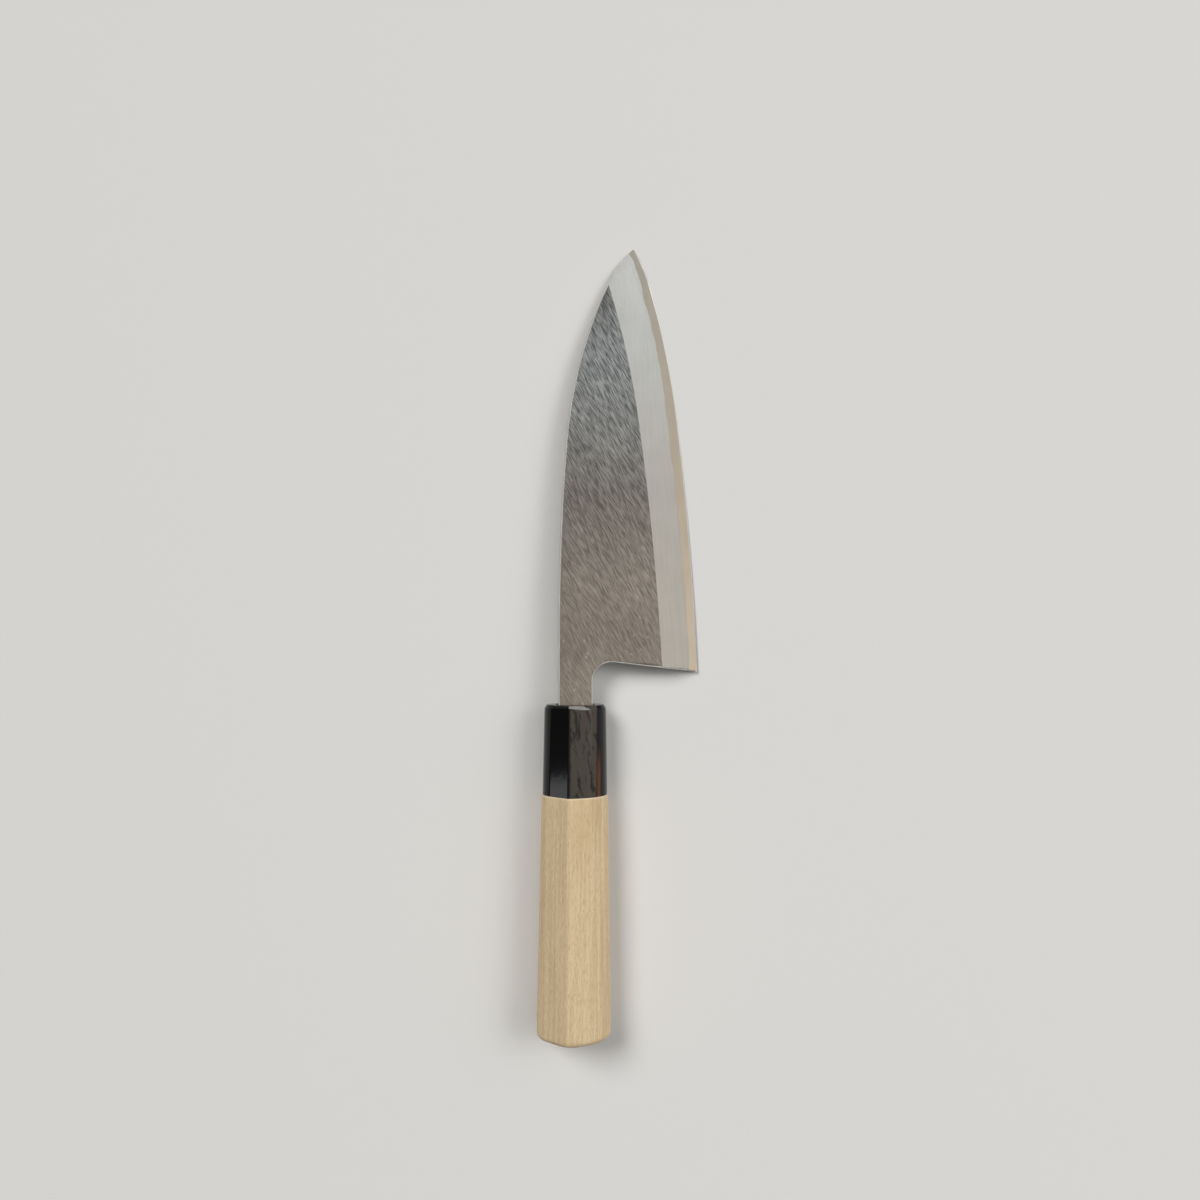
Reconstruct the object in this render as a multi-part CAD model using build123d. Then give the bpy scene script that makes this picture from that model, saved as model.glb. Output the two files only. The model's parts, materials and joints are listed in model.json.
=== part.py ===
from build123d import *
import os
from math import asin, cos, degrees, pi, radians, sin, sqrt, tan

# A single-bevel deba: a laminated fish-butchery blade in a half-rounded wooden handle.
# Millimetres. The knife is drawn flat: origin where the handle's axis meets the ferrule's front
# face, +Y to the tip, +X to the cutting edge, +Z on the bevel side. It is then laid as it rests
# on a table, on the ferrule's lower rim and the edge's belly, with the origin kept in place.

# blade outline
blade_length = 150.0            # heel corner to tip, along the handle
heel_setback = 11.2             # heel corner ahead of the ferrule
heel_height = 49.8              # spine to cutting edge at the heel
spine_offset = 6.2              # spine beside the handle's axis
spine_straight = 27.0           # straight part of the spine, from the ferrule
tip_drop = 26.3                 # tip below the spine's line
upper_spine = (70.4, 2.4)       # a point on the spine: back from the tip, down from its line
lower_spine = (12.4, 17.4)
edge_lean = 2.4                 # degrees that the edge leans in at the heel
upper_edge = (60.8, 7.45)       # a point on the edge: back from the tip, in from the heel corner
lower_edge = (5.5, 19.9)
heel_slope = 6.6                # degrees that the heel rises towards the neck
choil_radius = 6.5
neck_width = 11.9

# blade thickness
neck_thickness = 6.0
length_taper = 0.0265           # thickness lost per millimetre towards the tip
width_taper = 0.015             # thickness lost per millimetre towards the edge
bevel_at_heel = 13.4            # width of the wide bevel
bevel_at_middle = 14.2
bevel_at_tip = 15.3
bevel_land = 0.2                # the wide bevel's line passes this far above the back at the edge
small_bevel = 0.35              # width of the small bevel at the very edge
edge_land = 0.06                # thickness left at the very edge
corner_break = 0.4              # chamfer along the spine, neck and heel
break_share = 0.3               # of the thickness at most, where the blade thins
steel_at_heel = 1.45            # thickness of the hard steel layer
steel_at_tip = 0.55
steel_start = 9.0               # the layer's end, ahead of the ferrule
steel_scarf = 35.0              # degrees of its scarfed end
hollow_radius = 300.0           # grinding wheel of the hollow back
hollow_rim = 1.6                # flat left along the spine and the edge
hollow_start = 7.5              # from the heel corner to the hollow
hollow_runout = 16.0            # length over which it deepens
hollow_end = 8.0                # from the hollow to the tip

# tang
neck_reach = 4.0                # full neck inside the ferrule
tang_width = 9.0
tang_thickness = 4.4
tang_end_width = 4.5
tang_end_thickness = 2.6
tang_length = 86.0              # from the ferrule's front face

# handle: widths across the knife, heights above and below its axis
handle_length = 115.0
front_width = 21.5
butt_width = 25.2
front_above = 9.2
front_below = 9.4
butt_above = 10.5
butt_below = 10.6
widest_below = 1.5              # the widest level, below the axis
ridge_share = 0.31              # the ridge's place, as a share of the half width, spine side
flank_angle = 45.0              # slope of the flat beside the ridge
grip_proud = 0.3                # the wood stands proud of the horn
butt_rounding = 2.3
ferrule_length = 31.2
ferrule_chamfer = 1.0
socket_diameter = 14.5          # tenon socket in the ferrule
ferrule_wall = 8.2              # front wall, ahead of the socket
tenon_clearance = 0.05
tenon_gap = 0.8                 # tenon's end to the socket's floor
mouth_gap = 0.7                 # ferrule's mouth around the neck
seal_recess = 0.35              # the seal lies below the ferrule's face
tang_hole_gap = 2.0             # hole deeper than the tang

# how it lies
touch_back = 41.5               # from the tip back to where the edge meets the table

os.makedirs("parts", exist_ok=True)

back = -neck_thickness / 2
spine_x = -spine_offset
tip_y = heel_setback + blade_length
edge_x = spine_x + heel_height
neck_x = spine_x + neck_width
tip = Vector(spine_x + tip_drop, tip_y, back)
reach = 5.0                     # how far a cutting tool runs past its piece
overlap = 0.5                   # how far joined shapes run into each other


def arcs(start, direction, points):
    """Arcs through the points, each tangent to the one before."""
    edges = []
    for point in points:
        edges.append(TangentArc(start, point, tangent=direction))
        start = point
        direction = edges[-1] % 1
    return edges


def spine_point(place):
    return Vector(spine_x + place[1], tip_y - place[0], back)


def edge_point(place):
    return Vector(edge_x - place[1], tip_y - place[0], back)


def share_at(curve, y):
    """How far along a curve, from 0 to 1, it passes y."""
    low, high = 0.0, 1.0
    for _ in range(40):
        middle = (low + high) / 2
        if (curve @ middle).Y < y:
            low = middle
        else:
            high = middle
    return low


def across(curve, y):
    return (curve @ share_at(curve, y)).X


def between(low, high, share):
    return low + (high - low) * share


# the two long curves of the outline
straight_end = Vector(spine_x, spine_straight, back)
heel_corner = Vector(edge_x, heel_setback, back)
edge_start = Vector(-sin(radians(edge_lean)), cos(radians(edge_lean)), 0)
spine_arcs = arcs(straight_end, Vector(0, 1, 0), [spine_point(upper_spine), spine_point(lower_spine), tip])
edge_arcs = arcs(heel_corner, edge_start, [edge_point(upper_edge), edge_point(lower_edge), tip])
spine_curve = Wire(spine_arcs)
edge_curve = Wire(edge_arcs)
spine_side = Wire([Line(Vector(spine_x, 0, back), straight_end)] + spine_arcs)


def heel_edges():
    """Neck, choil and heel, from the ferrule to the heel's corner; the bevel starts at the crest."""
    slope = radians(heel_slope)
    inner_x = neck_x + choil_radius
    inner_y = heel_setback + (edge_x - inner_x) * tan(slope)
    centre_y = inner_y - choil_radius / cos(slope)
    on_heel = Vector(inner_x + choil_radius * sin(slope), centre_y + choil_radius * cos(slope), back)
    on_neck = Vector(neck_x, centre_y, back)
    choil = TangentArc(on_neck, on_heel, tangent=(0, 1, 0))
    crest = Vector(edge_x - bevel_at_heel, heel_setback + bevel_at_heel * tan(slope), back)
    return [Line(Vector(neck_x, 0, back), on_neck), choil, Line(on_heel, crest), Line(crest, heel_corner)]


heel_side = Wire(heel_edges())


def blade_outline():
    """The blade and neck seen from above, with the neck's end inside the ferrule."""
    corners = [Vector(x, y, back) for x, y in (
        (spine_x, 0), (spine_x, -neck_reach), (neck_x, -neck_reach), (neck_x, 0))]
    neck = Polyline(*corners).edges()
    return Face(Wire(neck + heel_side.edges() + edge_curve.edges() + spine_side.edges()))


def flat_height(x, y):
    """Height of the flat above the bevel."""
    return back + neck_thickness - length_taper * y - width_taper * (x - spine_x)


def above_flat():
    """All that lies over the flat: one plane from the ferrule to the tip, and one over the neck's end."""
    origin = (spine_x, 0, flat_height(spine_x, 0))
    size = 4 * blade_length
    tools = []
    for taper, side in ((length_taper, Align.MIN), (0, Align.MAX)):
        plane = Plane(origin, x_dir=(1, 0, -width_taper), z_dir=(width_taper, taper, 1))
        face = plane * Rectangle(size, size, align=(Align.CENTER, side))
        tools.append(extrude(face, amount=neck_thickness, dir=(0, 0, 1)))
    return tools


def bevel_width(y):
    """Across the knife: grows from heel to middle and from middle to tip."""
    share = (y - heel_setback) / blade_length
    if share < 0.5:
        return between(bevel_at_heel, bevel_at_middle, 2 * share)
    return between(bevel_at_middle, bevel_at_tip, 2 * share - 1)


def small_bevel_width(y):
    return small_bevel


def bevel_height(x, y):
    """Height of the wide bevel, whose line runs from the edge up to the flat."""
    side = across(edge_curve, y)
    width = bevel_width(y)
    rise = flat_height(side - width, y) - back - bevel_land
    return back + bevel_land + rise * (side - x) / width


def top_height(x, y):
    if y < heel_setback:
        return flat_height(x, y)
    return min(flat_height(x, y), bevel_height(x, y))


def bevel_tool(width_at, land):
    """Cuts one bevel: straight across the blade, smooth along it, from past the edge to past the flat."""
    stations = 12
    places = [edge_curve @ (i / stations) for i in range(stations + 1)]
    first = places[0] - (edge_curve % 0) * reach
    last = places[-1] + (edge_curve % 1) * reach
    sections = []
    for place in [first] + places + [last]:
        x, y = place.X, place.Y
        width = width_at(y)
        inner_height = min(flat_height(x - width, y), bevel_height(x - width, y))
        slope = (inner_height - back - land) / width
        outer = Vector(x + reach, y, back + land - slope * reach)
        inner = Vector(x - width - reach, y, back + land + slope * (width + reach))
        top = inner.Z + neck_thickness
        high = [Vector(inner.X, y, top), Vector(outer.X, y, top)]
        sections.append(Wire(Polyline(outer, inner, *high, close=True).edges()))
    return Solid.make_loft(sections, ruled=False)


def break_tool(curve, turn, last):
    """Chamfers the upper corner along a curve; turn is +1 where the outside lies to its left."""
    steps = 8                       # to each line or arc of the curve
    past = 0.3
    rise = 3.0
    up = Vector(0, 0, 1)
    shares = [0.0]
    for edge in curve.edges():
        start = shares[-1]
        end = min(last, start + edge.length / curve.length)
        shares += [between(start, end, (i + 1) / steps) for i in range(steps)]
    sections = []
    for share in shares:
        place, along = curve @ share, curve % share
        out = Vector(-along.Y * turn, along.X * turn, 0)
        inside = place - out * corner_break
        height = top_height(inside.X, inside.Y)
        size = min(corner_break, break_share * (height - back))
        corner = Vector(place.X, place.Y, height)
        a = corner - out * (size + rise) + up * rise
        b = corner + out * past - up * (size + past)
        c = corner + out * past + up * rise
        sections.append(Wire(Polyline(a, b, c, close=True).edges()))
    return Solid.make_loft(sections, ruled=True)


def hollow_tool():
    """The hollow of the back: a shallow round trough that follows both sides and runs out at the heel."""
    start = heel_setback + hollow_start
    end = tip_y - hollow_end
    stations = 14
    below = 0.5
    skin = 0.02
    sections = []
    for i in range(stations + 1):
        y = between(start, end, i / stations)
        left = (across(spine_curve, y) if y > spine_straight else spine_x) + hollow_rim
        right = across(edge_curve, y) - hollow_rim
        chord = right - left
        depth = chord ** 2 / (8 * hollow_radius)
        depth *= min(1, 0.04 + sin(min(1, (y - start) / hollow_runout) * radians(90)))
        a = Vector(left, y, back - skin)
        b = Vector(right, y, back - skin)
        crown = Vector((left + right) / 2, y, back + depth)
        low = [Vector(right, y, back - below), Vector(left, y, back - below)]
        sections.append(Wire([ThreePointArc(a, crown, b)] + Polyline(b, *low, a).edges()))
    return Solid.make_loft(sections, ruled=False)


def neck_rectangle(y, width, height):
    """A rectangle at y, centred on the neck."""
    middle = spine_x + neck_width / 2
    corners = [
        Vector(middle + i * width / 2, y, j * height / 2) for i, j in ((-1, -1), (1, -1), (1, 1), (-1, 1))
    ]
    return Wire(Polyline(*corners, close=True).edges())


def tang(longer=0.0):
    """Tapered tang, from inside the blade's neck to its end."""
    share = longer / (tang_length - neck_reach)
    end_width = tang_end_width - (tang_width - tang_end_width) * share
    end_thickness = tang_end_thickness - (tang_thickness - tang_end_thickness) * share
    front = neck_rectangle(-neck_reach, tang_width, tang_thickness)
    end = neck_rectangle(-tang_length - longer, end_width, end_thickness)
    return Solid.make_loft([front, end], ruled=True)


def blade_blank():
    """The forged blade as one piece, with its neck, tang, bevels and hollow back."""
    blank = extrude(blade_outline(), amount=neck_thickness, dir=(0, 0, 1)).solid()
    for tool in (
        *above_flat(),
        bevel_tool(bevel_width, bevel_land),
        bevel_tool(small_bevel_width, edge_land),
        break_tool(spine_side, 1, 0.985),
        break_tool(heel_side, -1, 0.97),
        hollow_tool(),
    ):
        blank = (blank - tool).solid()
    return (blank + tang()).solid()


def steel_zone():
    """Where the hard steel is: under a plane that sinks towards the tip, behind a scarfed end."""
    left, right = spine_x - reach, edge_x + reach
    low = back - reach
    scarf = cos(radians(steel_scarf)) / sin(radians(steel_scarf))
    sections = []
    for x in (left, right):
        toe = Vector(x, steel_start - scarf * reach, low)
        heel = Vector(x, steel_start + scarf * steel_at_heel, back + steel_at_heel)
        end = Vector(x, tip_y + reach, back + steel_at_tip)
        sections.append(Wire(Polyline(toe, heel, end, Vector(x, tip_y + reach, low), close=True).edges()))
    return Solid.make_loft(sections, ruled=True)


def handle_section(y, proud=0.0):
    """The handle's outline at y: a half ellipse below, a quarter ellipse towards the edge,
    and on the spine's side a round corner that runs into the flat beside the ridge."""
    share = -y / handle_length
    half = between(front_width, butt_width, share) / 2 + proud
    above = between(front_above, butt_above, share) + proud
    below = between(front_below, butt_below, share) + proud
    ridge = Vector(-ridge_share * half, above)
    slope = radians(flank_angle)
    level = -widest_below
    # the corner's radius brings its tangent up to the ridge at the flank's slope
    drop = (above - level) - (half + ridge.X) * tan(slope)
    corner = drop / (sin(slope) - (1 - cos(slope)) * tan(slope))
    centre = Vector(-half + corner, level)
    flank_start = centre + Vector(-cos(pi / 2 - slope), sin(pi / 2 - slope)) * corner
    middle = Vector(0, level)
    bottom = EllipticalCenterArc(middle, half, below + level, 180, arc_size=180)
    dome = EllipticalCenterArc(Vector(ridge.X, level), half - ridge.X, above - level, 0, arc_size=90)
    flank = Line(ridge, flank_start)
    side = TangentArc(flank_start, Vector(-half, level), tangent=flank % 1)
    plane = Plane(origin=(0, y, 0), x_dir=(1, 0, 0), z_dir=(0, -1, 0))
    return plane * Wire([bottom.edge(), dome.edge(), flank.edge(), side.edge()])


def rod(radius, front, rear):
    """A cylinder on the handle's axis, from y = front back to y = rear."""
    plane = Plane(origin=(0, front, 0), z_dir=(0, -1, 0))
    return Solid.make_cylinder(radius, front - rear, plane)


def mouth(front, rear):
    """The opening that the neck passes, with a gap all round it, from y = front back to y = rear."""
    opening = neck_rectangle(front, neck_width + 2 * mouth_gap, neck_thickness + 2 * mouth_gap)
    return extrude(Face(opening), amount=front - rear, dir=(0, -1, 0))


def ferrule():
    shoulder = handle_section(-ferrule_chamfer)
    nose = Solid.make_loft([handle_section(0, -ferrule_chamfer), shoulder], ruled=True)
    body = Solid.make_loft([shoulder, handle_section(-ferrule_length)], ruled=True)
    socket = rod(socket_diameter / 2, -ferrule_wall, -ferrule_length - reach)
    return (nose + body - mouth(reach, -ferrule_wall) - socket).solid()


def handle_grip():
    front = handle_section(-ferrule_length, grip_proud)
    butt = handle_section(-handle_length, grip_proud)
    body = Solid.make_loft([front, butt], ruled=True)
    rim = body.faces().sort_by(Axis.Y)[0].edges()
    body = body.fillet(butt_rounding, rim)
    tenon = rod(socket_diameter / 2 - tenon_clearance, -ferrule_wall - tenon_gap, -ferrule_length - overlap)
    return (body + tenon - tang(tang_hole_gap)).solid()


def resting_turn():
    """Axis and angle that lay the knife down: the ferrule's lower rim and the edge at one level."""
    share = share_at(edge_curve, tip_y - touch_back)
    touch, along = edge_curve @ share, edge_curve % share
    half = between(front_width, butt_width, ferrule_chamfer / handle_length) / 2
    depth = between(front_below, butt_below, ferrule_chamfer / handle_length) - widest_below
    lever = touch - Vector(0, -ferrule_chamfer, -widest_below)
    sine = 0.0
    for _ in range(20):
        cosine = sqrt(1 - sine ** 2)
        hang = sqrt((half * along.Y * sine) ** 2 + (depth * cosine) ** 2)
        sine = (lever.Z * cosine + hang) / (along.Y * lever.X - along.X * lever.Y)
    return Axis((0, 0, 0), (along.X, along.Y, 0)), degrees(asin(sine))


blade = blade_blank()
turn_axis, turn_angle = resting_turn()
pieces = {
    "blade_cladding": blade - steel_zone(),
    "edge_steel": blade & steel_zone(),
    "tang_seal": mouth(-seal_recess, -neck_reach) - blade,
    "ferrule": ferrule(),
    "handle_grip": handle_grip(),
}
for name, piece in pieces.items():
    laid = piece.solid().rotate(turn_axis, turn_angle)
    export_step(laid, "parts/" + name + ".step")
print("laid by", round(turn_angle, 3), "degrees about", turn_axis.direction)
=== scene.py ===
# A deba knife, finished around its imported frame: laminated blade, horn ferrule, wooden handle.
# The knife is worked out flat, in mm: +Y to the tip, +X to the edge, +Z on the bevel side.
# knifeTurn then lays it as it rests on the table, where the frame has it.
import json
from math import atan2, cos, pi, radians, sin, tan

import bmesh
import bpy
from mathutils import Matrix, Vector
from mathutils.kdtree import KDTree


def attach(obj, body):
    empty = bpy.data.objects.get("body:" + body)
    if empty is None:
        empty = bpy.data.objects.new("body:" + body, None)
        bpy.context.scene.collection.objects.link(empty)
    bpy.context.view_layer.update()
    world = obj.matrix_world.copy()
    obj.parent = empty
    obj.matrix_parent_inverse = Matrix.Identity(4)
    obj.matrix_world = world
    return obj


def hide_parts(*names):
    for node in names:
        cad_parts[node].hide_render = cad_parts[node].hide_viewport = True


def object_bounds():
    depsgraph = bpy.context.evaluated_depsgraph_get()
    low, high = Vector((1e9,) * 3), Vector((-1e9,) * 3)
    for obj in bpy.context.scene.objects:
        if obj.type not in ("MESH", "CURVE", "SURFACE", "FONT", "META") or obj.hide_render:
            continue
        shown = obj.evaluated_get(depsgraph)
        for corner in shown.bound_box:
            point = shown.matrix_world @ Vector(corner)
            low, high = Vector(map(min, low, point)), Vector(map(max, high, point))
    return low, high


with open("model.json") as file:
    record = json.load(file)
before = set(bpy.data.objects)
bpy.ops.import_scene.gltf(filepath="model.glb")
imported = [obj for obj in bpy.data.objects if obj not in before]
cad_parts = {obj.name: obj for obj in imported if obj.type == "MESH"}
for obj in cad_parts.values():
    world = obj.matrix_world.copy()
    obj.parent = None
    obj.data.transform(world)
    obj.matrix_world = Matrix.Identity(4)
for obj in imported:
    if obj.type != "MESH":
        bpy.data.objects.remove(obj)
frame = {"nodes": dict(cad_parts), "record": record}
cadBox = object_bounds()
mm = 0.001

# how the flat knife is turned, from the faces that the record names
mountAxes = {mount["name"]: Vector(mount["axis"]) for mount in frame["record"]["mounts"]}
alongAxis = mountAxes["ferrule_shoulder"]
upAxis = -mountAxes["blade_back"]
knifeTurn = Matrix((alongAxis.cross(upAxis), alongAxis, upAxis)).transposed().normalized()
flatNormal = knifeTurn.inverted() @ mountAxes["blade_flat"]
print("frame loaded, with", len(frame["nodes"]), "nodes")


# small helpers for nodes and meshes

def linear(red, green, blue):
    # a colour as seen on a screen, 0 to 255, as the shader wants it
    seen = [channel / 255 for channel in (red, green, blue)]
    return tuple(c / 12.92 if c <= 0.04045 else ((c + 0.055) / 1.055) ** 2.4 for c in seen) + (1.0,)


def between(low, high, share):
    return low + (high - low) * share


def plug(tree, socket, value):
    if isinstance(value, bpy.types.NodeSocket):
        tree.links.new(value, socket)
    else:
        socket.default_value = value


def addNode(tree, kind, wires=None, **settings):
    made = tree.nodes.new("ShaderNode" + kind)
    for name, value in settings.items():
        setattr(made, name, value)
    for socket, value in (wires or {}).items():
        plug(tree, made.inputs[socket], value)
    return made


def mathNode(tree, operation, *values):
    return addNode(tree, "Math", dict(enumerate(values)), operation=operation).outputs[0]


def rangeNode(tree, value, low, high, toLow=0.0, toHigh=1.0, smooth=False):
    wires = {"Value": value, "From Min": low, "From Max": high, "To Min": toLow, "To Max": toHigh}
    kind = "SMOOTHSTEP" if smooth else "LINEAR"
    return addNode(tree, "MapRange", wires, interpolation_type=kind).outputs["Result"]


def mixColour(tree, share, first, second, blend="MIX"):
    # sockets 0, 6 and 7 are the share and the two colours of a colour mix
    made = addNode(tree, "Mix", {0: share, 6: first, 7: second}, data_type="RGBA", blend_type=blend)
    return made.outputs[2]


def mixTones(tree, share, first, second):
    return mixColour(tree, share, linear(*first), linear(*second))


def shade(tree, colour, level):
    # the colour made lighter or darker by a level around 1
    grey = addNode(tree, "CombineColor", {"Red": level, "Green": level, "Blue": level}).outputs[0]
    return mixColour(tree, 1.0, colour, grey, "MULTIPLY")


def toneRamp(tree, y, tones):
    # colours along the blade: each place from the ferrule, in millimetres, with its tone
    ramp = addNode(tree, "ValToRGB", {"Fac": mathNode(tree, "DIVIDE", y, max(tones))})
    stops = ramp.color_ramp.elements
    for index, (at, tone) in enumerate(sorted(tones.items())):
        stop = stops[index] if index < 2 else stops.new(1.0)
        stop.position, stop.color = at / max(tones), linear(*tone)
    return ramp.outputs["Color"]


def newGroup(name, inputs, outputs):
    group = bpy.data.node_groups.new(name, "ShaderNodeTree")
    for label, kind in inputs:
        group.interface.new_socket(name=label, in_out="INPUT", socket_type="NodeSocket" + kind)
    for label, kind in outputs:
        group.interface.new_socket(name=label, in_out="OUTPUT", socket_type="NodeSocket" + kind)
    given, made = group.nodes.new("NodeGroupInput"), group.nodes.new("NodeGroupOutput")
    return group, given.outputs, made.inputs


def useGroup(tree, group, wires):
    made = tree.nodes.new("ShaderNodeGroup")
    made.node_tree = group
    for socket, value in wires.items():
        plug(tree, made.inputs[socket], value)
    return made.outputs[0]


def newMaterial(name, **values):
    material = bpy.data.materials.new(name)
    material.use_nodes = True
    tree = material.node_tree
    shader = tree.nodes["Principled BSDF"]
    for socket, value in values.items():
        shader.inputs[socket.replace("_", " ")].default_value = value
    return material, tree, shader


def flatPlaces(tree):
    # where a point is on the flat knife, in millimetres
    coordinates = addNode(tree, "TexCoord").outputs["Object"]
    turn = knifeTurn.inverted().to_euler("XYZ")
    wires = {"Vector": coordinates, "Rotation": turn, "Scale": (1000, 1000, 1000)}
    return addNode(tree, "Mapping", wires).outputs[0]


def finish(tree, shader, colour, height, depth, roughness=None):
    # colour, relief in millimetres and, where it changes over the surface, roughness
    relief = addNode(tree, "Bump", {"Height": height, "Distance": depth * mm, "Strength": 1.0})
    tree.links.new(colour, shader.inputs["Base Color"])
    tree.links.new(relief.outputs[0], shader.inputs["Normal"])
    if roughness is not None:
        tree.links.new(roughness, shader.inputs["Roughness"])


def meshObject(name, bm):
    mesh = bpy.data.meshes.new(name)
    bm.to_mesh(mesh)
    bm.free()
    made = bpy.data.objects.new(name, mesh)
    bpy.context.scene.collection.objects.link(made)
    return made


# shared effects

# streaks: fine lines of a given width and length, lying at a turn from the knife's length
streaks, given, made = newGroup(
    "streaks",
    [("Place", "Vector"), ("Width", "Float"), ("Length", "Float"), ("Turn", "Float"),
     ("Detail", "Float")],
    [("Streak", "Float")],
)
turned = addNode(streaks, "VectorRotate", {"Vector": given["Place"], "Angle": given["Turn"]},
                 rotation_type="Z_AXIS").outputs[0]
thin = mathNode(streaks, "DIVIDE", 1.0, given["Width"])
slow = mathNode(streaks, "DIVIDE", 1.0, given["Length"])
shrink = addNode(streaks, "CombineXYZ", {"X": thin, "Y": slow, "Z": thin}).outputs[0]
stretched = addNode(streaks, "VectorMath", {0: turned, 1: shrink}, operation="MULTIPLY").outputs[0]
lines = addNode(streaks, "TexNoise", {"Vector": stretched, "Scale": 1.0, "Roughness": 0.6,
                                      "Detail": given["Detail"]}).outputs["Fac"]
streaks.links.new(rangeNode(streaks, lines, 0.4, 0.6), made["Streak"])

# weldLine: 1 where the hard steel shows below the forge weld, which wanders a little
weld = {"widestAt": 92.0, "fade": 80.0, "widest": 3.75, "narrowest": 2.95, "wander": 0.45}
weldLine, given, made = newGroup(
    "weldLine",
    [("From Edge", "Float"), ("Place", "Vector"), ("Softness", "Float")],
    [("Steel", "Float")],
)
along = addNode(weldLine, "SeparateXYZ", {"Vector": given["Place"]}).outputs["Y"]
alongOnly = addNode(weldLine, "CombineXYZ", {"X": along}).outputs[0]
waves = addNode(weldLine, "TexNoise", {"Vector": alongOnly, "Scale": 0.13, "Detail": 1.0})
away = mathNode(weldLine, "ABSOLUTE", mathNode(weldLine, "SUBTRACT", along, weld["widestAt"]))
width = rangeNode(weldLine, away, 0.0, weld["fade"], weld["widest"], weld["narrowest"])
wander = rangeNode(weldLine, waves.outputs["Fac"], 0.25, 0.75, -weld["wander"], weld["wander"])
width = mathNode(weldLine, "ADD", width, wander)
inside = mathNode(weldLine, "SUBTRACT", width, given["From Edge"])
softer = mathNode(weldLine, "DIVIDE", inside, given["Softness"])
weldLine.links.new(rangeNode(weldLine, softer, -1.0, 1.0, smooth=True), made["Steel"])

# clouds: broad soft changes of tone
clouds, given, made = newGroup(
    "clouds", [("Place", "Vector"), ("Size", "Float")], [("Cloud", "Float")])
pitch = mathNode(clouds, "DIVIDE", 1.0, given["Size"])
soft = addNode(clouds, "TexNoise", {"Vector": given["Place"], "Scale": pitch,
                                    "Detail": 3.0}).outputs["Fac"]
clouds.links.new(rangeNode(clouds, soft, 0.32, 0.68), made["Cloud"])


# finishes

def streaked(tree, place, width, length, turn, detail):
    # lines of a finish: their width and length in millimetres, their turn and their detail
    wires = {"Place": place, "Width": width, "Length": length, "Turn": turn, "Detail": detail}
    return useGroup(tree, streaks, wires)


ground = {
    "coarse": (0.27, 4.2, radians(-29), 2.0), "fine": (0.11, 2.6, radians(-29) - 0.07, 1.0),
    "dark": 0.26, "light": 1.74, "cloudSize": 16.0, "speckPitch": 0.28, "speck": 0.17,
    # tones along the flat: partly the steel's own tint, partly painted reflection that darkens and
    # cools it towards the tip
    "tones": {0: (174, 163, 150), 22: (157, 147, 136), 38: (163, 153, 142), 74: (141, 135, 128),
              102: (154, 155, 152), 124: (156, 159, 158), 148: (140, 141, 138)},
}


def groundFlat():
    # the flat as the coarse wheel left it, with slanting scratches; its tones, darker and cooler
    # towards the tip, are partly painted reflection
    material, tree, shader = newMaterial("ground_flat", Metallic=1.0, Roughness=0.42)
    place = flatPlaces(tree)
    y = addNode(tree, "SeparateXYZ", {"Vector": place}).outputs["Y"]
    coarse = streaked(tree, place, *ground["coarse"])
    fine = streaked(tree, place, *ground["fine"])
    cloud = useGroup(tree, clouds, {"Place": place, "Size": ground["cloudSize"]})
    lines = mathNode(tree, "MULTIPLY_ADD", coarse, 0.7, mathNode(tree, "MULTIPLY", fine, 0.3))
    # scratches stand out more towards the tip
    strength = rangeNode(tree, y, 15.0, 150.0, 0.36, 1.05)
    spread = mathNode(tree, "MULTIPLY", mathNode(tree, "SUBTRACT", lines, 0.5), strength)
    level = rangeNode(tree, spread, -0.5, 0.5, ground["dark"], ground["light"])
    # a few bright specks near the neck
    specks = addNode(tree, "TexVoronoi", {"Vector": place, "Scale": ground["speckPitch"]})
    speck = rangeNode(tree, specks.outputs["Distance"], ground["speck"], 0.05, smooth=True)
    speck = mathNode(tree, "MULTIPLY", speck, rangeNode(tree, y, 45.0, 5.0, 0.0, 0.7))
    level = mathNode(tree, "ADD", level, speck)
    level = mathNode(tree, "MULTIPLY", level, rangeNode(tree, cloud, 0.0, 1.0, 0.93, 1.07))
    # the tone ramp carries painted reflection as well as the steel's tint
    colour = shade(tree, toneRamp(tree, y, ground["tones"]), level)
    finish(tree, shader, colour, lines, 0.02, rangeNode(tree, lines, 0.0, 1.0, 0.5, 0.38))
    return material


bevel = {
    # iron: tones that lighten towards the tip, a painted reflection
    "iron": {0: (193, 187, 177), 40: (191, 185, 175), 74: (193, 188, 181), 102: (203, 201, 194),
             132: (214, 215, 211), 152: (227, 228, 224)},
    "steel": {0: (190, 176, 155), 50: (186, 172, 152), 90: (182, 170, 153), 150: (180, 174, 160)},
    "hairs": (0.35, 22.0, radians(-4), 2.0), "contrast": 0.05, "mist": 9.0,
    "seamWidth": 0.25, "seamTone": 0.93,
}


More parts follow.
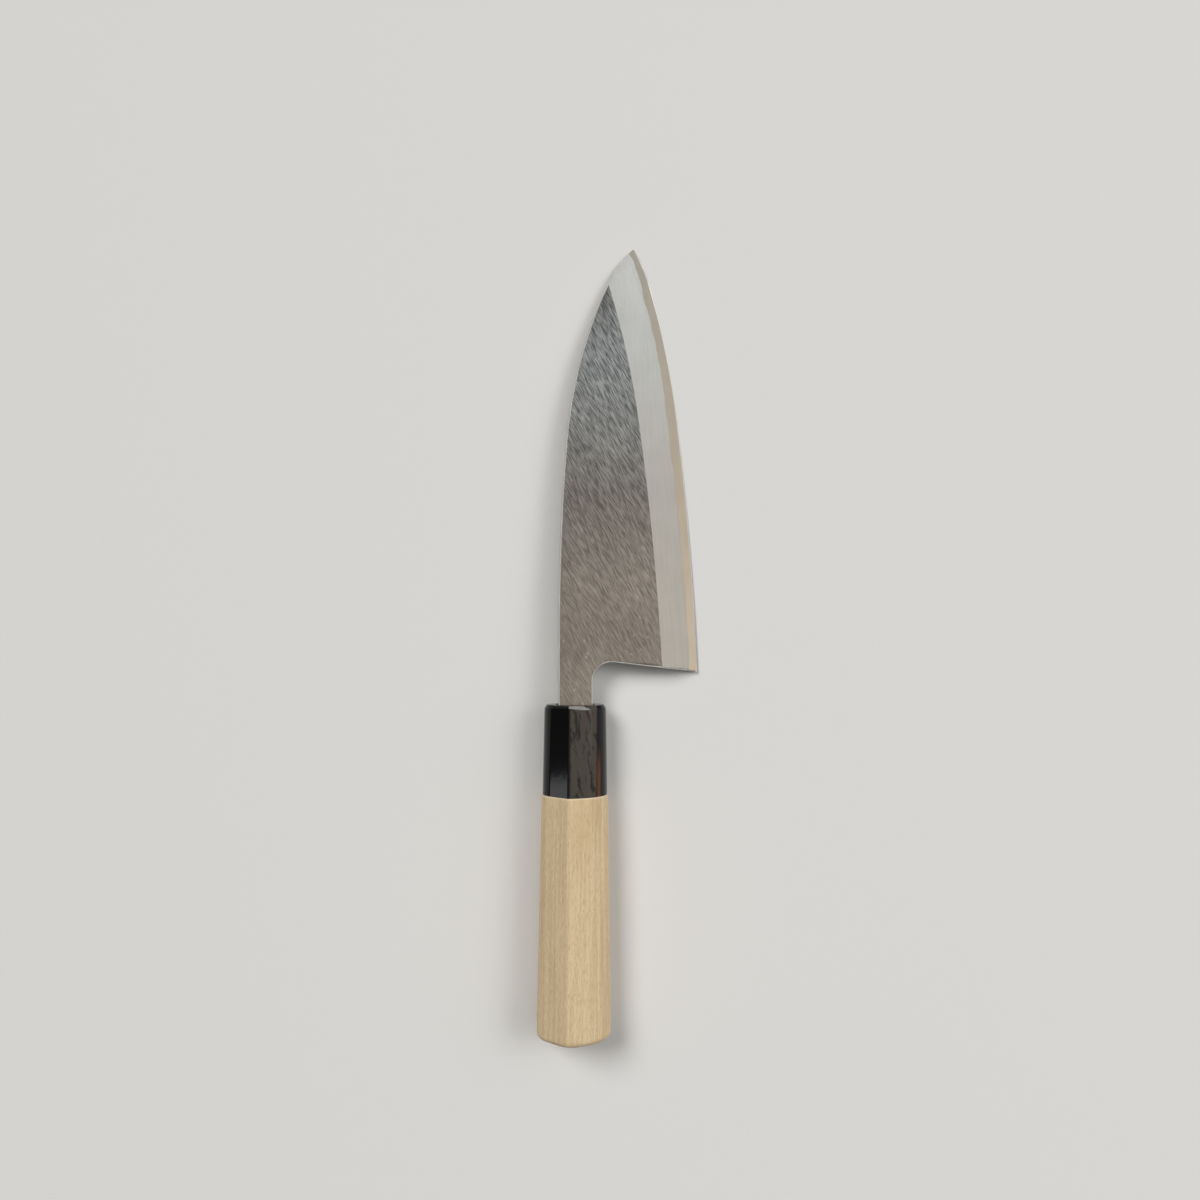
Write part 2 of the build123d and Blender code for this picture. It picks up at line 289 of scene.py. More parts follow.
def mistyBevel():
    # stone-finished bevel: misty soft iron above the weld line, warmer hard steel below it; the
    # iron lightens towards the tip as painted reflection
    material, tree, shader = newMaterial("misty_bevel", Metallic=1.0, Roughness=0.45)
    place = flatPlaces(tree)
    fromEdge = addNode(tree, "Attribute", attribute_name="fromEdge").outputs["Fac"]
    y = addNode(tree, "SeparateXYZ", {"Vector": place}).outputs["Y"]
    steel = useGroup(tree, weldLine, {"From Edge": fromEdge, "Place": place, "Softness": 0.14})
    pastSeam = mathNode(tree, "SUBTRACT", fromEdge, bevel["seamWidth"])
    line = useGroup(tree, weldLine, {"From Edge": pastSeam, "Place": place, "Softness": 0.2})
    hairs = streaked(tree, place, *bevel["hairs"])
    mist = useGroup(tree, clouds, {"Place": place, "Size": bevel["mist"]})
    # painted reflection: the iron's ramp gets lighter towards the tip
    iron = toneRamp(tree, y, bevel["iron"])
    hard = toneRamp(tree, y, bevel["steel"])
    tone = mathNode(tree, "MULTIPLY_ADD", hairs, bevel["contrast"], 1 - bevel["contrast"] / 2)
    tone = mathNode(tree, "MULTIPLY", tone, rangeNode(tree, mist, 0.0, 1.0, 0.975, 1.02))
    seam = mathNode(tree, "SUBTRACT", line, steel)
    tone = mathNode(tree, "MULTIPLY", tone, rangeNode(tree, seam, 0.0, 1.0, 1.0, bevel["seamTone"]))
    colour = shade(tree, mixColour(tree, steel, iron, hard), tone)
    finish(tree, shader, colour, hairs, 0.003, rangeNode(tree, steel, 0.0, 1.0, 0.5, 0.34))
    return material


# the plainer metal finishes: darker tone, lighter tone, and lines
metals = {
    "edge": ((206, 203, 197), (224, 222, 216), (0.2, 30.0, 0.0, 1.0)),
    "hollow": ((150, 149, 147), (192, 191, 188), (0.3, 26.0, radians(78), 3.0)),
    "rim": ((205, 203, 198), (228, 227, 223), (0.2, 18.0, radians(12), 2.0)),
}


def polishedEdge():
    # spine, neck sides, heel and every broken corner
    material, tree, shader = newMaterial("polished_edge", Metallic=1.0, Roughness=0.28)
    place = flatPlaces(tree)
    # hardly any change across the knife, so that the hairlines of a side wall don't break up
    along = addNode(tree, "VectorMath", {0: place, 1: (0.02, 1.0, 1.0)},
                    operation="MULTIPLY").outputs[0]
    dark, light, lines = metals["edge"]
    hairs = streaked(tree, along, *lines)
    colour = mixTones(tree, hairs, dark, light)
    finish(tree, shader, colour, hairs, 0.0015, rangeNode(tree, hairs, 0.0, 1.0, 0.32, 0.26))
    return material


def hollowBack():
    # the hollow of the back, satin from a fine wheel run across the blade
    material, tree, shader = newMaterial("hollow_back", Metallic=1.0, Roughness=0.36)
    place = flatPlaces(tree)
    dark, light, lines = metals["hollow"]
    across = streaked(tree, place, *lines)
    cloud = useGroup(tree, clouds, {"Place": place, "Size": 22.0})
    tone = mathNode(tree, "MULTIPLY_ADD", across, 0.6, mathNode(tree, "MULTIPLY", cloud, 0.4))
    colour = mixTones(tree, tone, dark, light)
    finish(tree, shader, colour, across, 0.006, rangeNode(tree, across, 0.0, 1.0, 0.42, 0.3))
    return material


def stonedRim():
    # the flat rim of the back, bright from the stone, with hairlines along it
    material, tree, shader = newMaterial("stoned_rim", Metallic=1.0, Roughness=0.2)
    place = flatPlaces(tree)
    dark, light, lines = metals["rim"]
    hairs = streaked(tree, place, *lines)
    colour = mixTones(tree, hairs, dark, light)
    finish(tree, shader, colour, hairs, 0.002, rangeNode(tree, hairs, 0.0, 1.0, 0.26, 0.16))
    return material


def forgedTang():
    # scaled black iron inside the handle
    material, tree, shader = newMaterial("forged_tang", Metallic=0.7, Roughness=0.7)
    place = flatPlaces(tree)
    scaleSpots = useGroup(tree, clouds, {"Place": place, "Size": 3.0})
    colour = mixTones(tree, scaleSpots, (48, 44, 42), (96, 86, 78))
    finish(tree, shader, colour, scaleSpots, 0.06)
    return material


horn = {
    "black": (13, 12, 12), "grey": (68, 62, 53), "brown": (92, 52, 28),
    "feather": (1.7, 11.0, radians(-9), 4.0), "seen": (-2.6, 6.6),
    "strandAt": 7.6, "strandFrom": (-12.0, -24.0),
}


def polishedHorn():
    # black buffalo horn with feathery grey clouding, kept to its upper side, and one brown streak;
    # the grey is partly the horn's own marbling and partly painted reflection of light from above
    material, tree, shader = newMaterial("buffalo_horn", Roughness=0.07, Specular_IOR_Level=0.2)
    place = flatPlaces(tree)
    parts = addNode(tree, "SeparateXYZ", {"Vector": place}).outputs
    warp = addNode(tree, "TexNoise", {"Vector": place, "Scale": 0.14, "Detail": 2.0})
    warped = addNode(tree, "VectorMath", {0: warp.outputs["Color"], 1: (5.0, 5.0, 5.0), 2: place},
                     operation="MULTIPLY_ADD").outputs[0]
    feather = streaked(tree, warped, *horn["feather"])
    # painted reflection, partly: the grey shows only in a band across the top, where light from
    # above is reflected
    start, end = horn["seen"]
    left = rangeNode(tree, parts["X"], start - 0.5, start + 0.5, smooth=True)
    right = rangeNode(tree, parts["X"], end - 0.4, end + 0.6, 1.0, 0.0, smooth=True)
    onTop = rangeNode(tree, parts["Z"], 0.0, 4.0, smooth=True)
    patch = mathNode(tree, "MULTIPLY", mathNode(tree, "MULTIPLY", left, right), onTop)
    clear = rangeNode(tree, feather, 0.0, 0.55, 0.25, 1.0, smooth=True)
    patch = mathNode(tree, "MULTIPLY", patch, clear)
    cloudingAndSheen = mixTones(tree, patch, horn["black"], horn["grey"])
    aside = mathNode(tree, "ABSOLUTE", mathNode(tree, "SUBTRACT", parts["X"], horn["strandAt"]))
    strand = rangeNode(tree, aside, 0.2, 0.9, 1.0, 0.0, smooth=True)
    reach = rangeNode(tree, parts["Y"], *horn["strandFrom"], smooth=True)
    strand = mathNode(tree, "MULTIPLY", mathNode(tree, "MULTIPLY", strand, reach), onTop)
    finish(tree, shader, mixColour(tree, strand, cloudingAndSheen, linear(*horn["brown"])), feather, 0.004)
    return material


wood = {
    "pale": (219, 196, 158), "warm": (209, 183, 144), "vein": (168, 136, 98),
    "grain": (1.1, 60.0, radians(0.6), 4.0), "veins": (4.5, 150.0, radians(1.0), 2.0),
    # rim: the colour of the painted highlight at the grip's front rim
    "pores": (0.22, 2.4, 0.0, 1.0), "rim": (232, 218, 190), "rimHighlightFrom": (-31.9, -31.4),
    "buttFrom": (-113.6, -115.0),
}


def magnoliaWood():
    # bare ho wood: fine straight grain, short pores, a few warmer veins, darker end grain, and a
    # painted highlight along its front rim
    material, tree, shader = newMaterial("magnolia_wood", Roughness=0.62)
    place = flatPlaces(tree)
    parts = addNode(tree, "SeparateXYZ", {"Vector": place}).outputs
    y, dark = parts["Y"], linear(*wood["vein"])
    grain = streaked(tree, place, *wood["grain"])
    veins = streaked(tree, place, *wood["veins"])
    pores = streaked(tree, place, *wood["pores"])
    pore = rangeNode(tree, pores, 0.16, 0.02, smooth=True)
    vein = rangeNode(tree, veins, 0.22, 0.0, 0.0, 0.22, smooth=True)
    # painted highlight: the front rim made lighter, where its eased corner catches the light
    rim = mathNode(tree, "MULTIPLY", rangeNode(tree, y, *wood["rimHighlightFrom"], smooth=True), 0.6)
    butt = rangeNode(tree, y, *wood["buttFrom"], 0.0, 0.4, smooth=True)
    colour = mixTones(tree, grain, wood["warm"], wood["pale"])
    colour = mixColour(tree, vein, colour, dark)
    colour = mixColour(tree, mathNode(tree, "MULTIPLY", pore, 0.35), colour, dark)
    colour = mixColour(tree, rim, colour, linear(*wood["rim"]))
    colour = mixColour(tree, butt, colour, dark)
    height = mathNode(tree, "SUBTRACT", mathNode(tree, "MULTIPLY", grain, 0.5), pore)
    finish(tree, shader, colour, height, 0.03, rangeNode(tree, grain, 0.0, 1.0, 0.7, 0.56))
    return material


resin = {"dark": (44, 36, 30), "light": (78, 64, 52), "mottle": 1.2}


def darkResin():
    # the dull resin that closes the ferrule's mouth
    material, tree, shader = newMaterial("seal_resin", Roughness=0.55)
    place = flatPlaces(tree)
    mottle = useGroup(tree, clouds, {"Place": place, "Size": resin["mottle"]})
    colour = mixTones(tree, mottle, resin["dark"], resin["light"])
    finish(tree, shader, colour, mottle, 0.08)
    return material


# blade: the frame's two metals, welded into clean meshes and finished face by face

blade = {
    "length": 150.0, "heelSetback": 11.2, "heelHeight": 49.8, "spineOffset": 6.2,
    "spineStraight": 27.0, "tipDrop": 26.3, "upperSpine": (70.4, 2.4), "lowerSpine": (12.4, 17.4),
    "edgeLean": radians(2.4), "upperEdge": (60.8, 7.45), "lowerEdge": (5.5, 19.9),
    "heelSlope": radians(6.6), "choilRadius": 6.5, "neckWidth": 11.9, "thickness": 6.0,
    "brokenCorner": 0.4, "smallBevel": 0.35, "nearEdge": 0.8, "sharpAngle": radians(7),
    "roundedAngle": radians(60), "flatWithin": radians(3.2), "settleWithin": 0.15,
    "stationPitch": 2.0, "fineCut": 0.5, "tipReach": 16.0, "guidePitch": 0.05,
    "heelEnd": 0.6, "tipEnd": 1.0,
}
spineX, tipY = -blade["spineOffset"], blade["heelSetback"] + blade["length"]
edgeX, neckX = spineX + blade["heelHeight"], spineX + blade["neckWidth"]
bladeTip = Vector((spineX + blade["tipDrop"], tipY))
heelCorner = Vector((edgeX, blade["heelSetback"]))
backZ = -blade["thickness"] / 2


def arcPath(start, way, ends):
    # points along arcs, each running on smoothly from the one before
    path = []
    for end in ends:
        chord, side = end - start, Vector((-way.y, way.x))
        offset = chord.dot(side)
        centre = start + side * chord.length_squared / (2 * offset)
        turn = 2 * atan2(offset, chord.dot(way))
        steps = max(2, round(chord.length / blade["guidePitch"]))
        path += [centre + Matrix.Rotation(turn * i / steps, 2) @ (start - centre)
                 for i in range(steps)]
        way = Matrix.Rotation(turn, 2) @ way
        start = end
    return path + [ends[-1]]


def backFromTip(place, x, turn):
    # a place given by how far it is behind the tip and inside the outline's straight side
    return Vector((x + turn * place[1], tipY - place[0]))


spineArcs = arcPath(Vector((spineX, blade["spineStraight"])), Vector((0, 1)), [
    backFromTip(blade["upperSpine"], spineX, 1),
    backFromTip(blade["lowerSpine"], spineX, 1), bladeTip])
edgeWay = Vector((-sin(blade["edgeLean"]), cos(blade["edgeLean"])))
edgeArcs = arcPath(heelCorner, edgeWay, [
    backFromTip(blade["upperEdge"], edgeX, -1),
    backFromTip(blade["lowerEdge"], edgeX, -1), bladeTip])
choilSlope, choilRadius = blade["heelSlope"], blade["choilRadius"]
choilX = neckX + choilRadius
choilY = heelCorner.y + (edgeX - choilX) * tan(choilSlope) - choilRadius / cos(choilSlope)
choilEnd = Vector((choilX + choilRadius * sin(choilSlope), choilY + choilRadius * cos(choilSlope)))
choilArc = arcPath(Vector((neckX, choilY)), Vector((0, 1)), [choilEnd])
outline = spineArcs + edgeArcs + choilArc
guide = KDTree(len(outline))
for index, point in enumerate(outline):
    guide.insert((point.x, point.y, 0), index)
guide.balance()


def edgeAt(y):
    # the cutting edge's place across the knife at y, square to the handle
    low, high = 0, len(edgeArcs) - 1
    while high - low > 1:
        middle = (low + high) // 2
        low, high = (middle, high) if edgeArcs[middle].y < y else (low, middle)
    start, end = edgeArcs[low], edgeArcs[high]
    return between(start.x, end.x, (y - start.y) / (end.y - start.y))


def flatCopy(nodeName):
    # the node's mesh as one skin, on the flat knife in millimetres
    bm = bmesh.new()
    bm.from_mesh(frame["nodes"][nodeName].data)
    bmesh.ops.remove_doubles(bm, verts=bm.verts, dist=0.002 * mm)
    bm.transform(Matrix.Scale(1 / mm, 4) @ knifeTurn.inverted().to_4x4())
    return bm


def cut(bm, way, place, keep=lambda vert: True):
    verts = [vert for vert in bm.verts if keep(vert)]
    edges = [edge for edge in bm.edges if all(keep(vert) for vert in edge.verts)]
    faces = [face for face in bm.faces if all(keep(vert) for vert in face.verts)]
    bmesh.ops.bisect_plane(bm, geom=verts + edges + faces, dist=0.0001,
                           plane_co=place * way, plane_no=way)


def addStations(bm):
    # cuts across the blade, closer at the choil and the tip, where its outline curves most
    across, along = Vector((1, 0, 0)), Vector((0, 1, 0))
    y, fine = choilY, blade["fineCut"]
    while y < tipY - 0.3:
        cut(bm, along, y)
        y += fine if y < choilEnd.y or y > tipY - blade["tipReach"] else blade["stationPitch"]
    x = neckX
    while x < choilEnd.x:
        cut(bm, across, x, lambda vert: vert.co.y < spineArcs[0].y)
        x += fine


def isSide(face):
    return abs(face.normal.z) < 0.3


def isBroken(face):
    return 0.3 < face.normal.z < 0.9


def atEdge(face):
    return all(edgeAt(vert.co.y) - vert.co.x < blade["nearEdge"] for vert in face.verts)


def isRounded(edge):
    # an edge of the broken corner, away from the cutting edge and the back
    faces = edge.link_faces
    return any(isBroken(face) for face in faces) and all(
        face.normal.z > -0.3 and not (isBroken(face) and atEdge(face)) for face in faces)


def mergeFlats(bm):
    # one face for each plane and each step of the broken corner, so that the stations cut cleanly
    bm.normal_update()
    strips = [face for face in bm.faces if isBroken(face) and not atEdge(face)]
    bmesh.ops.join_triangles(bm, faces=strips, angle_face_threshold=radians(1),
                             angle_shape_threshold=pi)
    inner = [edge for edge in bm.edges if all(
        face.normal.z > -0.3 and not isBroken(face) for face in edge.link_faces)]
    bmesh.ops.dissolve_limit(bm, angle_limit=radians(0.2), edges=inner, verts=[])


def straighten(bm):
    # where a station cuts a diagonal inside a narrow strip, the point joins the strip's upper row
    bm.normal_update()
    targets = {}
    for vert in bm.verts:
        if all(isBroken(face) for face in vert.link_faces):
            others = [edge.other_vert(vert) for edge in vert.link_edges]
            level = [other for other in others if other.co.z > vert.co.z and min(
                abs(other.co.x - vert.co.x), abs(other.co.y - vert.co.y)) < 0.001]
            if level:
                targets[vert] = max(level, key=lambda other: other.co.z)
    for vert, target in targets.items():
        while target in targets:
            target = targets[target]
        targets[vert] = target
    bmesh.ops.weld_verts(bm, targetmap=targets)


def joinWalls(bm):
    # each side wall becomes one face from station to station, so that its corner is lit evenly
    bm.normal_update()
    sloping = [edge for edge in bm.edges if all(isSide(face) for face in edge.link_faces)
               and (edge.verts[0].co.xy - edge.verts[1].co.xy).length > 0.01]
    bmesh.ops.dissolve_edges(bm, edges=sloping, use_verts=True)


def settleEdge(vert, distance):
    # a point beside the cutting edge goes straight across to the edge, or to a set width inside it
    share = blade["smallBevel"] / distance if distance > blade["smallBevel"] / 2 else 0.0
    edge = edgeAt(vert.co.y)
    vert.co.x = edge - (edge - vert.co.x) * share


def settle(bm):
    # moves the outline from its chords onto the true arcs, and keeps its narrow strips even
    bm.normal_update()
    for vert in bm.verts:
        spot, index, distance = guide.find((vert.co.x, vert.co.y, 0))
        besideEdge = edgeAt(vert.co.y) - vert.co.x < blade["nearEdge"]
        if besideEdge and heelCorner.y + blade["heelEnd"] < vert.co.y < tipY - blade["tipEnd"]:
            raised = vert.co.z > backZ + 0.005
            if distance < 0.05 or raised and distance < blade["smallBevel"] + 0.04:
                settleEdge(vert, distance)
        elif any(isSide(face) for face in vert.link_faces):
            if distance < blade["settleWithin"]:
                vert.co.x, vert.co.y = spot.x, spot.y
        elif any(isBroken(face) for face in vert.link_faces):
            if abs(distance - blade["brokenCorner"]) < 0.1:
                inward = (Vector((vert.co.x, vert.co.y, 0)) - spot).normalized()
                vert.co.xy = (spot + inward * blade["brokenCorner"]).xy


def metalRegion(face):
    # which finish a face of the blade gets
    normal, middle = face.normal, face.calc_center_median()
    if middle.y < -0.5:
        return "tang"
    if normal.z < -0.3:
        onBack = abs(middle.z - backZ) < 0.01 and normal.z < -0.99999
        return "rim" if onBack else "hollow"
    if normal.dot(flatNormal) > cos(blade["flatWithin"]):
        return "flat"
    onSmallBevel = edgeAt(middle.y) - middle.x < blade["smallBevel"] * 0.85
    return "bevel" if normal.z > 0.9 and not onSmallBevel else "edge"


def bladePiece(name, nodeName):
    # one metal of the blade: each face gets its finish, corners stay crisp where they are ground
    bm = flatCopy(nodeName)
    mergeFlats(bm)
    addStations(bm)
    straighten(bm)
    joinWalls(bm)
    settle(bm)
    layer = bm.verts.layers.float.new("fromEdge")
    for vert in bm.verts:
        vert[layer] = edgeAt(vert.co.y) - vert.co.x
    bm.normal_update()
    names = list(finishes)
    for face in bm.faces:
        face.material_index = names.index(metalRegion(face))
        face.smooth = True
    for edge in bm.edges:
        limit = blade["roundedAngle"] if isRounded(edge) else blade["sharpAngle"]
        edge.smooth = edge.calc_face_angle(0) < limit
    piece = finishPiece(name, nodeName, bm, finishes.values())
    soften = piece.modifiers.new("soft_corners", "WEIGHTED_NORMAL")
    soften.keep_sharp, soften.weight = True, 100
    return piece


def finishPiece(name, nodeName, bm, materials):
    # back to the laid knife in metres, as a piece that stands in for its node
    bm.transform(knifeTurn.to_4x4() @ Matrix.Scale(mm, 4))
    piece = meshObject(name, bm)
    for material in materials:
        piece.data.materials.append(material)
    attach(piece, "root")
    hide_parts(nodeName)
    return piece


finishes = {
    "flat": groundFlat(), "bevel": mistyBevel(), "edge": polishedEdge(),
    "rim": stonedRim(), "hollow": hollowBack(), "tang": forgedTang(),
}
ironPiece = bladePiece("blade_iron", "blade_cladding")
steelPiece = bladePiece("blade_steel", "edge_steel")
counts = [len(piece.data.polygons) for piece in (ironPiece, steelPiece)]
print("blade finished, with", counts, "faces")


# handle: rings of points around the axis, one after another

handle = {
    "length": 115.0, "frontWidth": 21.5, "buttWidth": 25.2,
    "frontAbove": 9.2, "frontBelow": 9.4, "buttAbove": 10.5, "buttBelow": 10.6,
    "widestBelow": 1.5, "ridgeShare": 0.31, "flankAngle": radians(45),
    "belowSteps": 56, "domeSteps": 30, "flankSteps": 8, "cornerSteps": 14, "ridgeSteps": 5,
}
ferrule = {
    "length": 31.2, "chamfer": (1.3, 0.85), "ease": 0.12, "wall": 8.2, "socket": 14.5,
    "mouthMiddle": -0.25, "mouthWidth": 13.3, "mouthHeight": 7.4, "ridgeSoftness": 0.25,
    "ringsAt": (-6.0, -12.0, -18.0, -24.0), "sharpAngle": radians(20),
}
grip = {
    "proud": 0.3, "rimEase": 0.3, "buttRounding": 2.3, "roundingSteps": 8, "bodyRings": 24,
    "tenon": 14.4, "tenonFront": 9.0, "ridgeSoftness": 0.5, "buttSoftness": 4.0,
    "holeFront": (8.73, 4.29), "holeEnd": (4.4, 2.56), "holeDepth": 88.0,
    "sharpAngle": radians(40),
}


def handleSection(y, proud, softness):
    # the outline at y, from the spine-side level round below, over the dome and down the flank
    share = -y / handle["length"]
    half = between(handle["frontWidth"], handle["buttWidth"], share) / 2 + proud
    above = between(handle["frontAbove"], handle["buttAbove"], share) + proud
    below = between(handle["frontBelow"], handle["buttBelow"], share) + proud
    level, slope = -handle["widestBelow"], handle["flankAngle"]
    ridge = Vector((-handle["ridgeShare"] * half, above))
    drop = (above - level) - (half + ridge.x) * tan(slope)
    corner = drop / (sin(slope) - (1 - cos(slope)) * tan(slope))
    centre = Vector((-half + corner, level))
    flankEnd = centre + Vector((-sin(slope), cos(slope))) * corner
    points = []
    for i in range(handle["belowSteps"]):
        angle = pi + pi * i / handle["belowSteps"]
        points.append(Vector((half * cos(angle), level + (below + level) * sin(angle))))
    reach = half - ridge.x
    stop = pi / 2 - softness / reach
    for i in range(handle["domeSteps"]):
        angle = stop * i / handle["domeSteps"]
        points.append(Vector((ridge.x + reach * cos(angle), level + (above - level) * sin(angle))))
    domeEnd = Vector((ridge.x + reach * cos(stop), level + (above - level) * sin(stop)))
    flankStart = ridge + (flankEnd - ridge).normalized() * softness
    for i in range(handle["ridgeSteps"]):
        t = i / handle["ridgeSteps"]
        points.append(domeEnd * (1 - t) ** 2 + ridge * 2 * t * (1 - t) + flankStart * t ** 2)
    for i in range(handle["flankSteps"]):
        points.append(flankStart.lerp(flankEnd, i / handle["flankSteps"]))
    for i in range(handle["cornerSteps"]):
        angle = pi / 2 + slope + (pi / 2 - slope) * i / handle["cornerSteps"]
        points.append(centre + Vector((cos(angle), sin(angle))) * corner)
    return [Vector((point.x, y, point.y)) for point in points]


# the directions in which all rings of the handle have their points
joint = handleSection(-ferrule["length"], 0.0, ferrule["ridgeSoftness"])
aim = [atan2(point.z, point.x) for point in joint]


def roundRing(y, diameter):
    return [Vector((cos(angle) * diameter / 2, y, sin(angle) * diameter / 2)) for angle in aim]


def boxRing(y, width, height):
    # a rectangle around the neck's middle
    ring = []
    for angle in aim:
        way = Vector((cos(angle), sin(angle)))
        out = min(width / 2 / max(abs(way.x), 1e-6), height / 2 / max(abs(way.y), 1e-6))
        ring.append(Vector((ferrule["mouthMiddle"] + way.x * out, y, way.y * out)))
    return ring


def pole(y):
    return [Vector((ferrule["mouthMiddle"], y, 0.0)) for angle in aim]


def ringedPiece(name, nodeName, rings, material, sharpAngle):
    # a grid wrapped round the axis; its doubles are merged and its faces turned outwards
    around, count = len(rings[0]), len(rings) - 1
    bm = bmesh.new()
    bmesh.ops.create_grid(bm, x_segments=around, y_segments=count, size=0.5)
    for vert in bm.verts:
        column = round((vert.co.x + 0.5) * around) % around
        vert.co = rings[round((vert.co.y + 0.5) * count)][column]
    bmesh.ops.remove_doubles(bm, verts=bm.verts, dist=0.001)
    bmesh.ops.recalc_face_normals(bm, faces=bm.faces)
    if bm.calc_volume(signed=True) < 0:
        bmesh.ops.reverse_faces(bm, faces=bm.faces)
    bm.normal_update()
    for face in bm.faces:
        face.smooth = True
    for edge in bm.edges:
        edge.smooth = edge.calc_face_angle(0) < sharpAngle
    return finishPiece(name, nodeName, bm, [material])


def ferruleRings():
    rear, ease, soft = -ferrule["length"], ferrule["ease"], ferrule["ridgeSoftness"]
    run, depth = ferrule["chamfer"]
    outside = [
        (0.0, -depth - ease), (-ease * 0.35, -depth + ease * 0.3),
        (-run + ease * 0.3, -ease * 0.35), (-run - ease, 0.0),
        *((y, 0.0) for y in ferrule["ringsAt"]), (rear + ease, 0.0), (rear, -ease),
    ]
    rings = [boxRing(0.0, ferrule["mouthWidth"], ferrule["mouthHeight"])]
    rings += [handleSection(y, proud, soft) for y, proud in outside]
    rings += [roundRing(rear, ferrule["socket"]), roundRing(-ferrule["wall"], ferrule["socket"])]
    rings += [boxRing(-ferrule["wall"], ferrule["mouthWidth"], ferrule["mouthHeight"]), rings[0]]
    return rings


def gripRings():
    front, butt, proud = -ferrule["length"], -handle["length"], grip["proud"]
    ease, soft, radius = grip["rimEase"], grip["ridgeSoftness"], grip["buttRounding"]
    rings = [pole(-grip["holeDepth"]), boxRing(-grip["holeDepth"], *grip["holeEnd"])]
    rings += [boxRing(-grip["tenonFront"], *grip["holeFront"])]
    rings += [roundRing(-grip["tenonFront"], grip["tenon"]), roundRing(front, grip["tenon"])]
    rings += [handleSection(front, proud - ease, soft)]
    rings += [handleSection(front - ease * 0.35, proud - ease * 0.25, soft)]
    straight = butt + radius
    for i in range(grip["bodyRings"] + 1):
        y = between(front - ease, straight, i / grip["bodyRings"])
        rings.append(handleSection(y, proud, soft))
    for i in range(1, grip["roundingSteps"] + 1):
        angle = pi / 2 * i / grip["roundingSteps"]
        inwards = 1 - cos(angle)
        rings.append(handleSection(butt + radius * (1 - sin(angle)), proud - radius * inwards,
                                   between(soft, grip["buttSoftness"], inwards)))
    rings.append(pole(butt))
    return rings


hornPiece = ringedPiece("horn_ferrule", "ferrule", ferruleRings(), polishedHorn(),
                        ferrule["sharpAngle"])
gripPiece = ringedPiece("wood_grip", "handle_grip", gripRings(), magnoliaWood(),
                        grip["sharpAngle"])
frame["nodes"]["tang_seal"].data.materials[0] = darkResin()
counts = [len(piece.data.polygons) for piece in (hornPiece, gripPiece)]
print("handle finished, with", counts, "faces")


# table, light and camera

studio = {
    "floorSize": 60.0, "floorTone": (228, 226, 222), "worldTone": 0.08, "backdropTone": 0.62,
    "sunAngle": radians(26),
}
suns = {"window": ((-0.55, 0.62, 0.95), 1.85), "fill": ((0.75, 0.3, 0.8), 0.75)}
# soft panels: place, width and height in metres, brightness, and which pieces they light
panels = {
    "overhead": ((2.1, 0.75, 3.0), (3.6, 4.8), 0.85, "everything"),
    "right_wall": ((3.2, 0.3, 0.95), (4.6, 1.9), 0.8, "knife"),
    "left_wall": ((-2.4, 0.3, 1.1), (3.6, 2.0), 1.3, "blade"),
    "far_wall": ((-0.3, 2.6, 0.95), (4.2, 1.8), 1.3, "blade"),
    "heel_wall": ((0.2, -2.2, 0.6), (2.4, 1.1), 1.2, "blade"),
    "mouth_glow": ((0.25, 1.0, 0.55), (2.2, 0.4), 13.0, "horn"),
    "horn_glint": ((-1.0, -0.312, 0.27), (0.34, 0.3), 3.0, "horn"),
}


def table():
    bm = bmesh.new()
    bmesh.ops.create_grid(bm, x_segments=1, y_segments=1, size=studio["floorSize"] / 2)
    bmesh.ops.translate(bm, verts=bm.verts, vec=(0, 0, cadBox[0][2]))
    top = meshObject("table", bm)
    material, tree, shader = newMaterial("pale_paper", Roughness=0.85)
    shader.inputs["Base Color"].default_value = linear(*studio["floorTone"])
    top.data.materials.append(material)


def placeLight(lamp, place):
    lamp.location = place
    lamp.rotation_euler = (-Vector(place)).to_track_quat("-Z", "Y").to_euler()
    lamp.visible_camera = False
    bpy.context.scene.collection.objects.link(lamp)


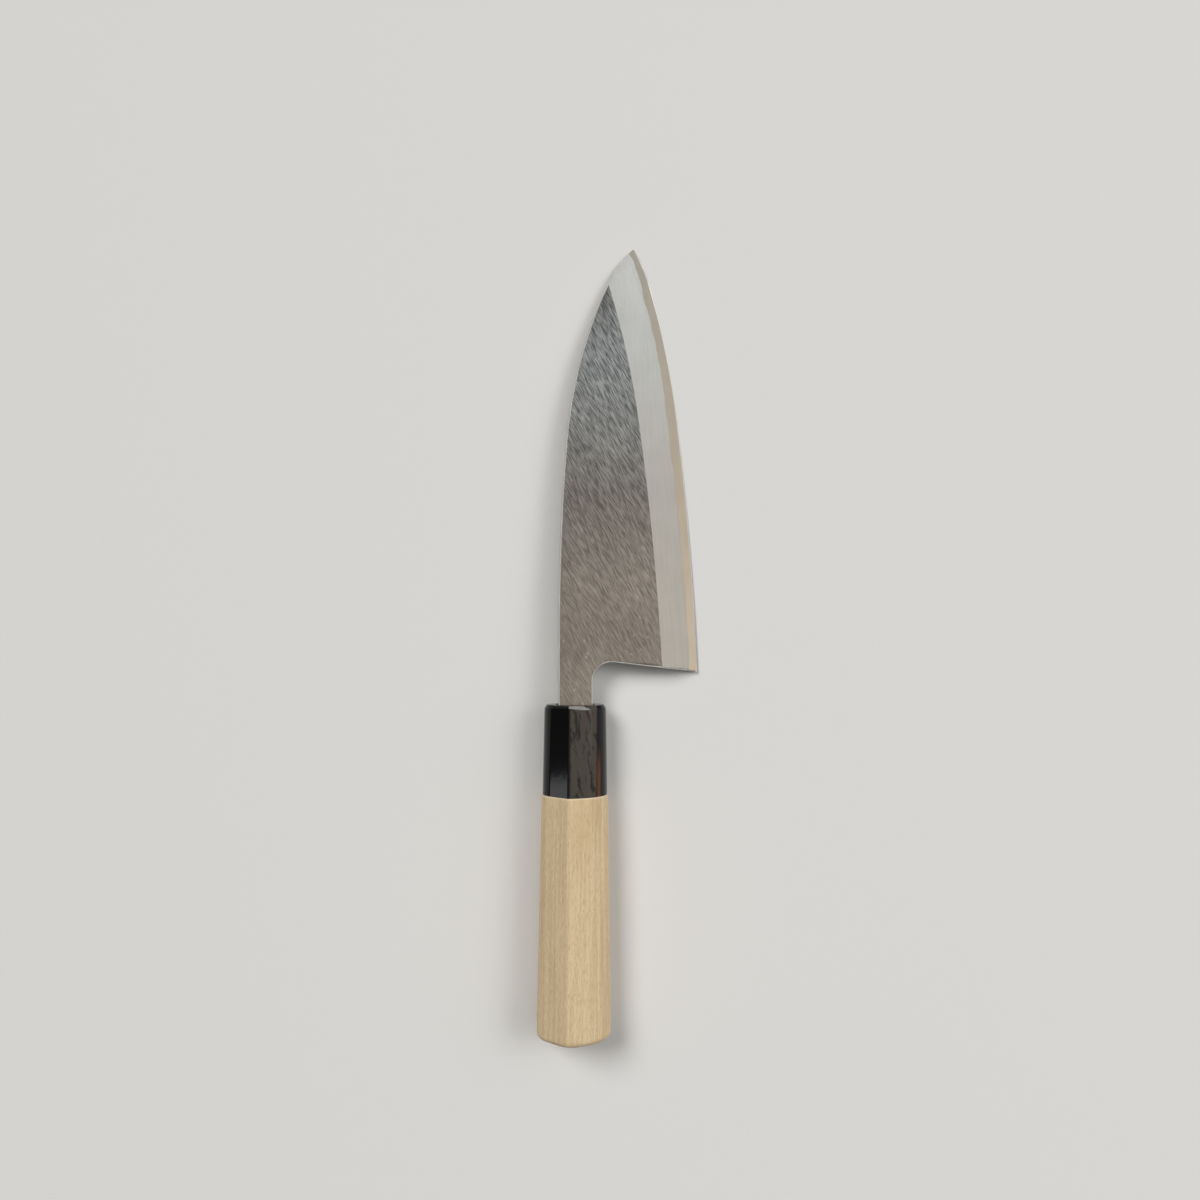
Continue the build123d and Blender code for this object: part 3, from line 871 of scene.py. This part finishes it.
def softPanel(name, place, size, brightness, lit):
    data = bpy.data.lights.new(name, "AREA")
    data.shape = "RECTANGLE"
    data.size, data.size_y = size
    data.energy = brightness * pi * size[0] * size[1]
    lamp = bpy.data.objects.new(name, data)
    placeLight(lamp, place)
    if lit in litPieces:
        lamp.light_linking.receiver_collection = litPieces[lit]
    lamp.visible_diffuse = lit != "horn"


def softSun(name, place, power, spread):
    # light for dull surfaces: mirrors show the panels alone
    data = bpy.data.lights.new(name, "SUN")
    data.energy, data.angle = power, spread
    lamp = bpy.data.objects.new(name, data)
    placeLight(lamp, place)
    lamp.visible_glossy = False


table()
# light linking: each soft panel that isn't for everything lights one of these
bladePieces, hornPieces = [ironPiece, steelPiece], [hornPiece]
knifePieces = bladePieces + hornPieces + [gripPiece, frame["nodes"]["tang_seal"]]
litPieces = {name: bpy.data.collections.new(name) for name in ("knife", "blade", "horn")}
for name, pieces in (("blade", bladePieces), ("horn", hornPieces), ("knife", knifePieces)):
    for piece in pieces:
        litPieces[name].objects.link(piece)
for name, (place, size, brightness, lit) in panels.items():
    softPanel(name, place, size, brightness, lit)
for name, (place, power) in suns.items():
    softSun(name, place, power, studio["sunAngle"])

# a pale backdrop for the eye, and a dimmer room for light and reflections
world = bpy.data.worlds.new("studio")
world.use_nodes = True
looking = addNode(world.node_tree, "LightPath").outputs["Is Camera Ray"]
tone = rangeNode(world.node_tree, looking, 0.0, 1.0, studio["worldTone"], studio["backdropTone"])
world.node_tree.links.new(tone, world.node_tree.nodes["Background"].inputs["Color"])
bpy.context.scene.world = world
bpy.context.scene.view_settings.view_transform = "Standard"

view = {"right": 8.45, "up": 36.34, "height": 382.6, "turn": radians(0.3),
        "focal": 33.0, "film": 36.0}
cameraData = bpy.data.cameras.new("camera")
cameraData.lens, cameraData.sensor_width = view["focal"], view["film"]
camera = bpy.data.objects.new("camera", cameraData)
lookTurn = Matrix.Rotation(view["turn"], 3, "Z")
camera.location = lookTurn @ Vector((view["right"], view["up"], view["height"])) * mm
camera.rotation_euler = (0, 0, view["turn"])
bpy.context.scene.collection.objects.link(camera)
bpy.context.scene.camera = camera
print("table, lights and camera set")
